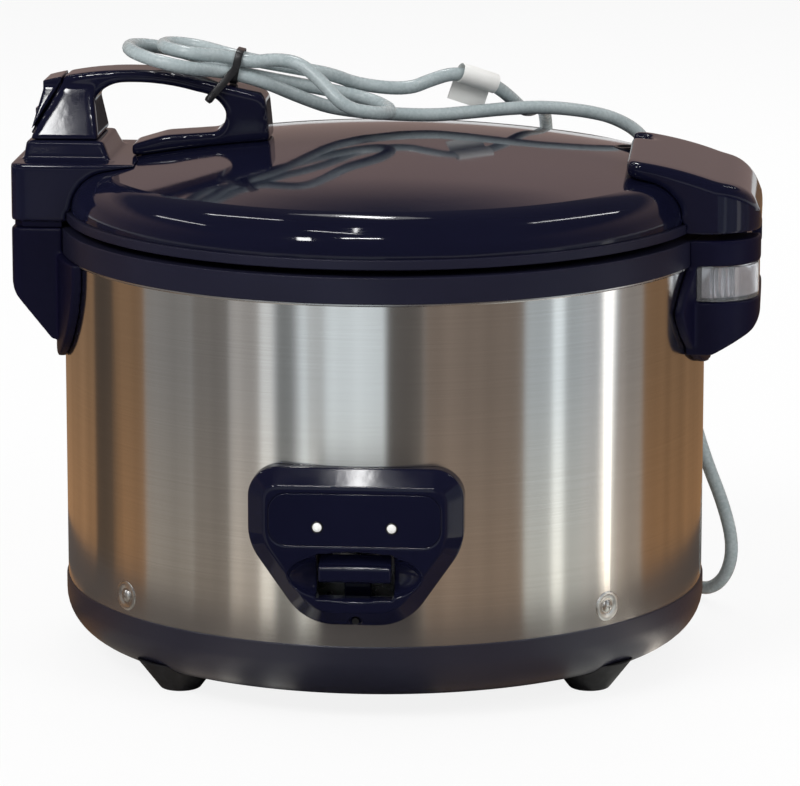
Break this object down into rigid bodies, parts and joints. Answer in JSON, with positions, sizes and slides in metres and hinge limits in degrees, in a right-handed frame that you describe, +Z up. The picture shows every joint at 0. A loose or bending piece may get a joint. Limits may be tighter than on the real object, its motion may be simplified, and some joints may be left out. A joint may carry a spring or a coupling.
{
  "type": "rice cooker",
  "caption": "Large electric rice cooker: brushed steel drum, dark hinged lid with loop handle, switch panel, mains cord tied in a hank on the lid.",
  "frame": {"origin": "on the floor under the middle of the drum", "axes": "+X towards the hinge, +Z up; the switch panel faces -Y and the handle is at -X"},
  "size_m": [0.4627, 0.4522, 0.3822],
  "materials": {
    "glossy_navy": "glossy",
    "matte_navy": "matte",
    "brushed_steel": "brushed",
    "plain_steel": "satin",
    "pot_aluminium": "satin",
    "black_rubber": "matte",
    "black_plastic": "satin",
    "grey_cord": "satin",
    "white_plastic": "satin",
    "clear_plastic": "clear"
  },
  "bodies": {
    "cooker_body": {"base_tray": "matte_navy", "body_shell": "brushed_steel", "bottom_plate": "plain_steel", "bracket_screws": "plain_steel", "control_panel": "glossy_navy", "cord_gland": "black_rubber", "cord_riser": "grey_cord", "cover_screws": "plain_steel", "heater_posts": "plain_steel", "heating_element": "plain_steel", "heating_plate": "pot_aluminium", "hinge_bracket": "matte_navy", "hinge_pin": "plain_steel", "indicator_lamps": "white_plastic", "inlet_cover": "matte_navy", "inner_pot": "pot_aluminium", "latch_bracket": "matte_navy", "micro_switch": "black_plastic", "panel_plate": "glossy_navy", "panel_screw": "plain_steel", "pot_liner": "plain_steel", "rubber_feet": "black_rubber", "sensor_spring": "plain_steel", "shell_screws": "plain_steel", "switch_bracket": "plain_steel", "switch_pin": "plain_steel", "terminal_block": "black_plastic", "thermostat_housing": "pot_aluminium", "upper_ring": "matte_navy", "warming_band": "plain_steel"},
    "lid": {"lid_cover": "glossy_navy", "lid_flange": "matte_navy", "lid_gasket": "black_rubber", "inner_lid": "brushed_steel", "inner_lid_knob": "black_rubber", "steam_vent": "black_plastic", "latch_housing": "glossy_navy", "latch_pin": "plain_steel", "latch_spring": "plain_steel", "handle_grip": "glossy_navy", "hinge_cover": "glossy_navy", "hinge_knuckle": "plain_steel", "cord_lid_run": "grey_cord", "cord_hank": "grey_cord", "cord_tail": "grey_cord", "cord_tie": "black_plastic", "cord_tag": "white_plastic", "plug": "grey_cord"},
    "latch": {"latch_lever": "glossy_navy"},
    "cook_switch_lever": {"cook_lever": "glossy_navy"},
    "magnet": {"magnet_rod": "plain_steel"},
    "sensor": {"sensor_cap": "pot_aluminium"},
    "collector": {"dew_collector": "clear_plastic"}
  },
  "joints": [
    {"name": "lid_hinge", "type": "hinge", "parent": "cooker_body", "child": "lid", "pos_m": [0.222, 0, 0.262], "axis": [0, 1, 0], "range_deg": [0, 75]},
    {"name": "latch_pivot", "type": "hinge", "parent": "lid", "child": "latch", "pos_m": [-0.215, 0, 0.316], "axis": [0, -1, 0], "range_deg": [0, 8], "stiffness_Nm_per_rad": 1, "springref_deg": -5.73},
    {"name": "cook_switch", "type": "hinge", "parent": "cooker_body", "child": "cook_switch_lever", "pos_m": [0, -0.1, 0.036], "axis": [1, 0, 0], "range_deg": [0, 4.2], "stiffness_Nm_per_rad": 1.5, "springref_deg": -5.73},
    {"name": "magnet_lift", "type": "slide", "parent": "cooker_body", "child": "magnet", "axis": [0, 0, 1], "range_m": [0, 0.00765]},
    {"name": "sensor_press", "type": "slide", "parent": "cooker_body", "child": "sensor", "axis": [0, 0, 1], "range_m": [-0.002, 0], "stiffness_N_per_m": 600, "springref_m": 0.003, "deforming": ["sensor_spring"]},
    {"name": "collector_slide", "type": "slide", "parent": "cooker_body", "child": "collector", "axis": [1, 0, 0], "range_m": [0, 0.045]}
  ],
  "couplings": [
    {"joint": "magnet_lift", "follows": "cook_switch", "m_per_rad": 0.104}
  ]
}
